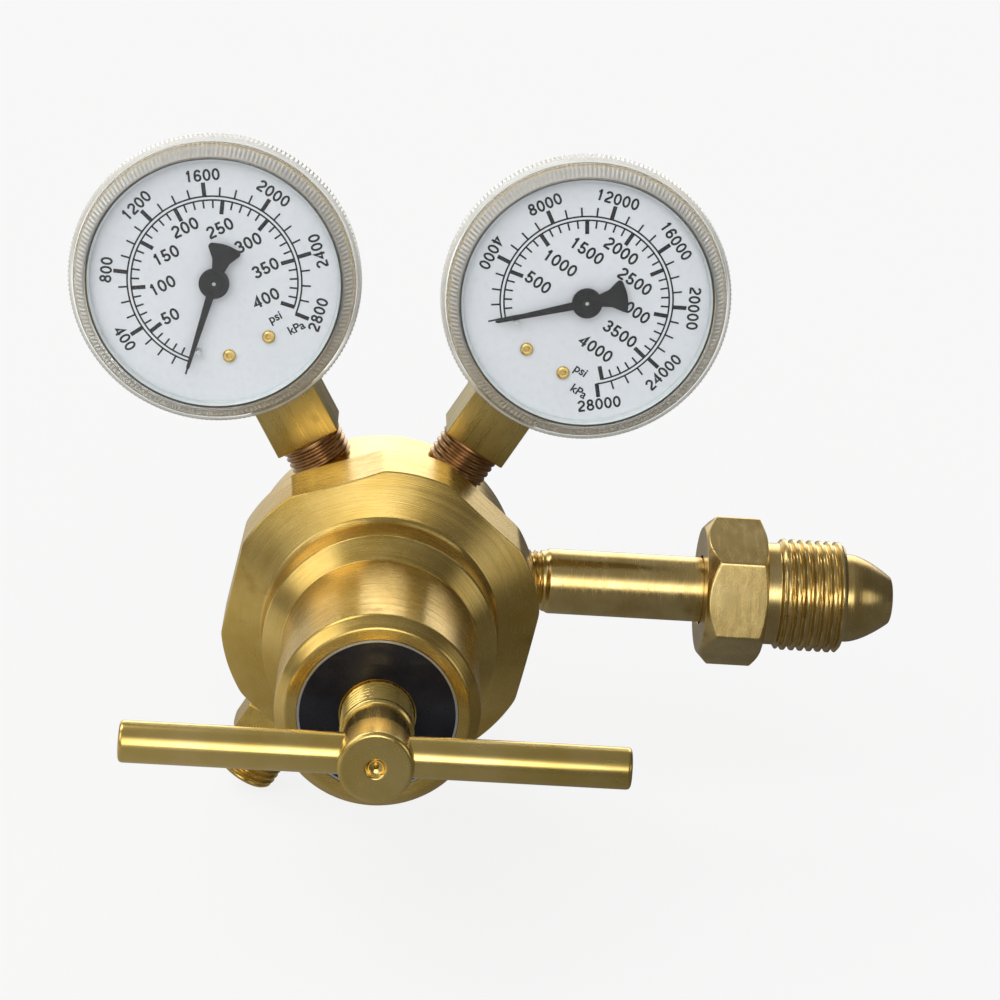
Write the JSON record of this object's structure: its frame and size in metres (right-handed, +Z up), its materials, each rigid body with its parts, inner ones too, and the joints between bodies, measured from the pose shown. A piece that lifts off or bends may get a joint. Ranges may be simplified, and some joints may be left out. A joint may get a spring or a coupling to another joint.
{
  "type": "gas pressure regulator",
  "caption": "Brass single-stage cylinder regulator with screw-down bonnet and T-handle, delivery and cylinder pressure gauges, threaded inlet nut on a bullet nipple and hose outlet.",
  "frame": {"origin": "on the inlet axis at the shoulder of the inlet nipple, where its bullet nose starts", "axes": "+X along the inlet axis out of the regulator into the cylinder valve, +Y to the back, away from the handle, +Z up"},
  "size_m": [0.181, 0.1222, 0.1498],
  "materials": {
    "brass_polished": "turned and polished round bar",
    "brass_turned": "lathe turned, fine rings round the main axis",
    "brass_handle": "drawn bar, turned ends, slightly dull",
    "brass_inlet": "turned, bright",
    "brass_block": "drawn square bar, matte",
    "brass_case": "pressed and bright dipped",
    "brass_screw": "bright",
    "brass_plain": "as machined",
    "tube_bronze": "drawn tube, dull",
    "sintered_bronze": "porous, dull",
    "spring_steel": "plain steel",
    "label_black": "printed foil, satin",
    "rubber_black": "moulded, matt",
    "seat_plastic": "machined",
    "dial_white": "printed white enamel, satin",
    "pointer_black": "matt black paint",
    "clear_plastic": "clear moulded cover with a knurled rim"
  },
  "bodies": {
    "regulator": {"body": "brass_polished", "bonnet": "brass_turned", "label_ring": "label_black", "slip_ring": "brass_plain", "diaphragm": "rubber_black", "adjusting_spring": "spring_steel", "valve_nozzle": "brass_plain", "valve_seat": "seat_plastic", "poppet_cage": "brass_plain", "poppet_spring": "spring_steel", "inlet_nipple": "brass_inlet", "inlet_filter": "sintered_bronze", "outlet_fitting": "brass_plain", "gauge_socket_low": "brass_block", "gauge_case_low": "brass_case", "gauge_window_low": "clear_plastic", "gauge_gasket_low": "rubber_black", "gauge_dial_low": "dial_white", "dial_screws_low": "brass_screw", "pointer_stop_low": "spring_steel", "movement_frame_low": "brass_plain", "bourdon_tube_low": "tube_bronze", "gauge_socket_high": "brass_block", "gauge_case_high": "brass_case", "gauge_window_high": "clear_plastic", "gauge_gasket_high": "rubber_black", "gauge_dial_high": "dial_white", "dial_screws_high": "brass_screw", "pointer_stop_high": "spring_steel", "movement_frame_high": "brass_plain", "bourdon_tube_high": "tube_bronze"},
    "spring_carrier": {"spring_button": "spring_steel"},
    "handle": {"adjusting_screw": "brass_handle", "t_bar": "brass_handle"},
    "diaphragm_plate": {"diaphragm_plate": "brass_plain"},
    "poppet": {"poppet": "spring_steel"},
    "inlet_nut": {"inlet_nut": "brass_inlet"},
    "pointer_low": {"pointer_low": "pointer_black", "pinion_low": "spring_steel"},
    "sector_low": {"sector_low": "brass_plain"},
    "link_low": {"link_low": "brass_plain"},
    "pointer_high": {"pointer_high": "pointer_black", "pinion_high": "spring_steel"},
    "sector_high": {"sector_high": "brass_plain"},
    "link_high": {"link_high": "brass_plain"}
  },
  "joints": [
    {"name": "screw_travel", "type": "slide", "parent": "regulator", "child": "spring_carrier", "axis": [0, 1, 0], "range_m": [-0.0029, 0.0043], "deforming": ["adjusting_spring"]},
    {"name": "handle_turn", "type": "hinge", "parent": "spring_carrier", "child": "handle", "pos_m": [-0.1029, 0, 0], "axis": [0, 1, 0], "range_deg": [-720, 1080]},
    {"name": "valve_lift", "type": "slide", "parent": "regulator", "child": "poppet", "axis": [0, 1, 0], "range_m": [0, 0.0006], "stiffness_N_per_m": 300, "springref_m": -0.002, "deforming": ["poppet_spring", "diaphragm"]},
    {"name": "plate_travel", "type": "slide", "parent": "regulator", "child": "diaphragm_plate", "axis": [0, 1, 0], "range_m": [0, 0.0006]},
    {"name": "nut_spin", "type": "hinge", "parent": "regulator", "child": "inlet_nut", "pos_m": [-0.02, 0, 0], "axis": [1, 0, 0], "continuous": true},
    {"name": "pointer_turn_low", "type": "hinge", "parent": "regulator", "child": "pointer_low", "pos_m": [-0.14125, 0, 0.06642], "axis": [0, 1, 0], "range_deg": [0, 270], "stiffness_Nm_per_rad": 0.00005, "deforming": ["bourdon_tube_low"]},
    {"name": "sector_turn_low", "type": "hinge", "parent": "regulator", "child": "sector_low", "pos_m": [-0.13477, 0, 0.0552], "axis": [0, 1, 0], "range_deg": [-34.5, 0.5]},
    {"name": "link_swing_low", "type": "hinge", "parent": "sector_low", "child": "link_low", "pos_m": [-0.13602, 0, 0.06056], "axis": [0, 1, 0], "range_deg": [-0.5, 34.5]},
    {"name": "pointer_turn_high", "type": "hinge", "parent": "regulator", "child": "pointer_high", "pos_m": [-0.0641, 0, 0.0672], "axis": [0, 1, 0], "range_deg": [0, 270], "stiffness_Nm_per_rad": 0.00005, "deforming": ["bourdon_tube_high"]},
    {"name": "sector_turn_high", "type": "hinge", "parent": "regulator", "child": "sector_high", "pos_m": [-0.07058, 0, 0.05598], "axis": [0, 1, 0], "range_deg": [-34.5, 0.5]},
    {"name": "link_swing_high", "type": "hinge", "parent": "sector_high", "child": "link_high", "pos_m": [-0.06657, 0, 0.05974], "axis": [0, 1, 0], "range_deg": [-0.5, 34.5]}
  ],
  "couplings": [
    {"joint": "screw_travel", "follows": "handle_turn", "m_per_rad": 0.00022457},
    {"joint": "plate_travel", "follows": "valve_lift", "ratio": 1},
    {"joint": "sector_turn_low", "follows": "pointer_turn_low", "ratio": -0.125},
    {"joint": "link_swing_low", "follows": "pointer_turn_low", "ratio": 0.125},
    {"joint": "sector_turn_high", "follows": "pointer_turn_high", "ratio": -0.125},
    {"joint": "link_swing_high", "follows": "pointer_turn_high", "ratio": 0.125}
  ]
}
